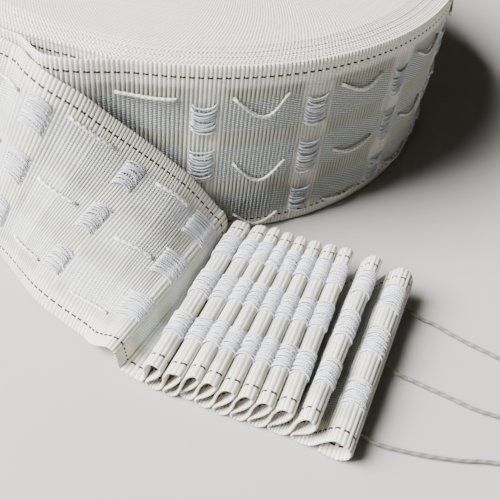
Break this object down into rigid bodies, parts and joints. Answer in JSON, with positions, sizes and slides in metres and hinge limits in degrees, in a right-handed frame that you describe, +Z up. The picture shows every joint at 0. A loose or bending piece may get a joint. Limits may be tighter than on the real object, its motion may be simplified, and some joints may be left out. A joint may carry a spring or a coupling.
{
  "type": "roll of curtain heading tape",
  "caption": "Roll of white woven curtain heading tape, its loose end drawn up into pencil pleats by three draw cords.",
  "frame": {"origin": "centre of the outline of the roll and its loose tape on the surface it lies on, without the draw cords", "axes": "+Z up along the roll's axis, -Y towards the pleats at the front, +X to the right where the draw cords run out"},
  "size_m": [0.297, 0.3517, 0.076],
  "materials": {
    "tape_cloth": "matte",
    "cord_yarn": "matte"
  },
  "bodies": {
    "root": {"tape_roll": "tape_cloth", "loose_tape": "tape_cloth", "draw_cord_upper": "cord_yarn", "draw_cord_middle": "cord_yarn", "draw_cord_lower": "cord_yarn", "cord_coil_upper": "cord_yarn", "cord_coil_middle": "cord_yarn", "cord_coil_lower": "cord_yarn"}
  },
  "joints": []
}
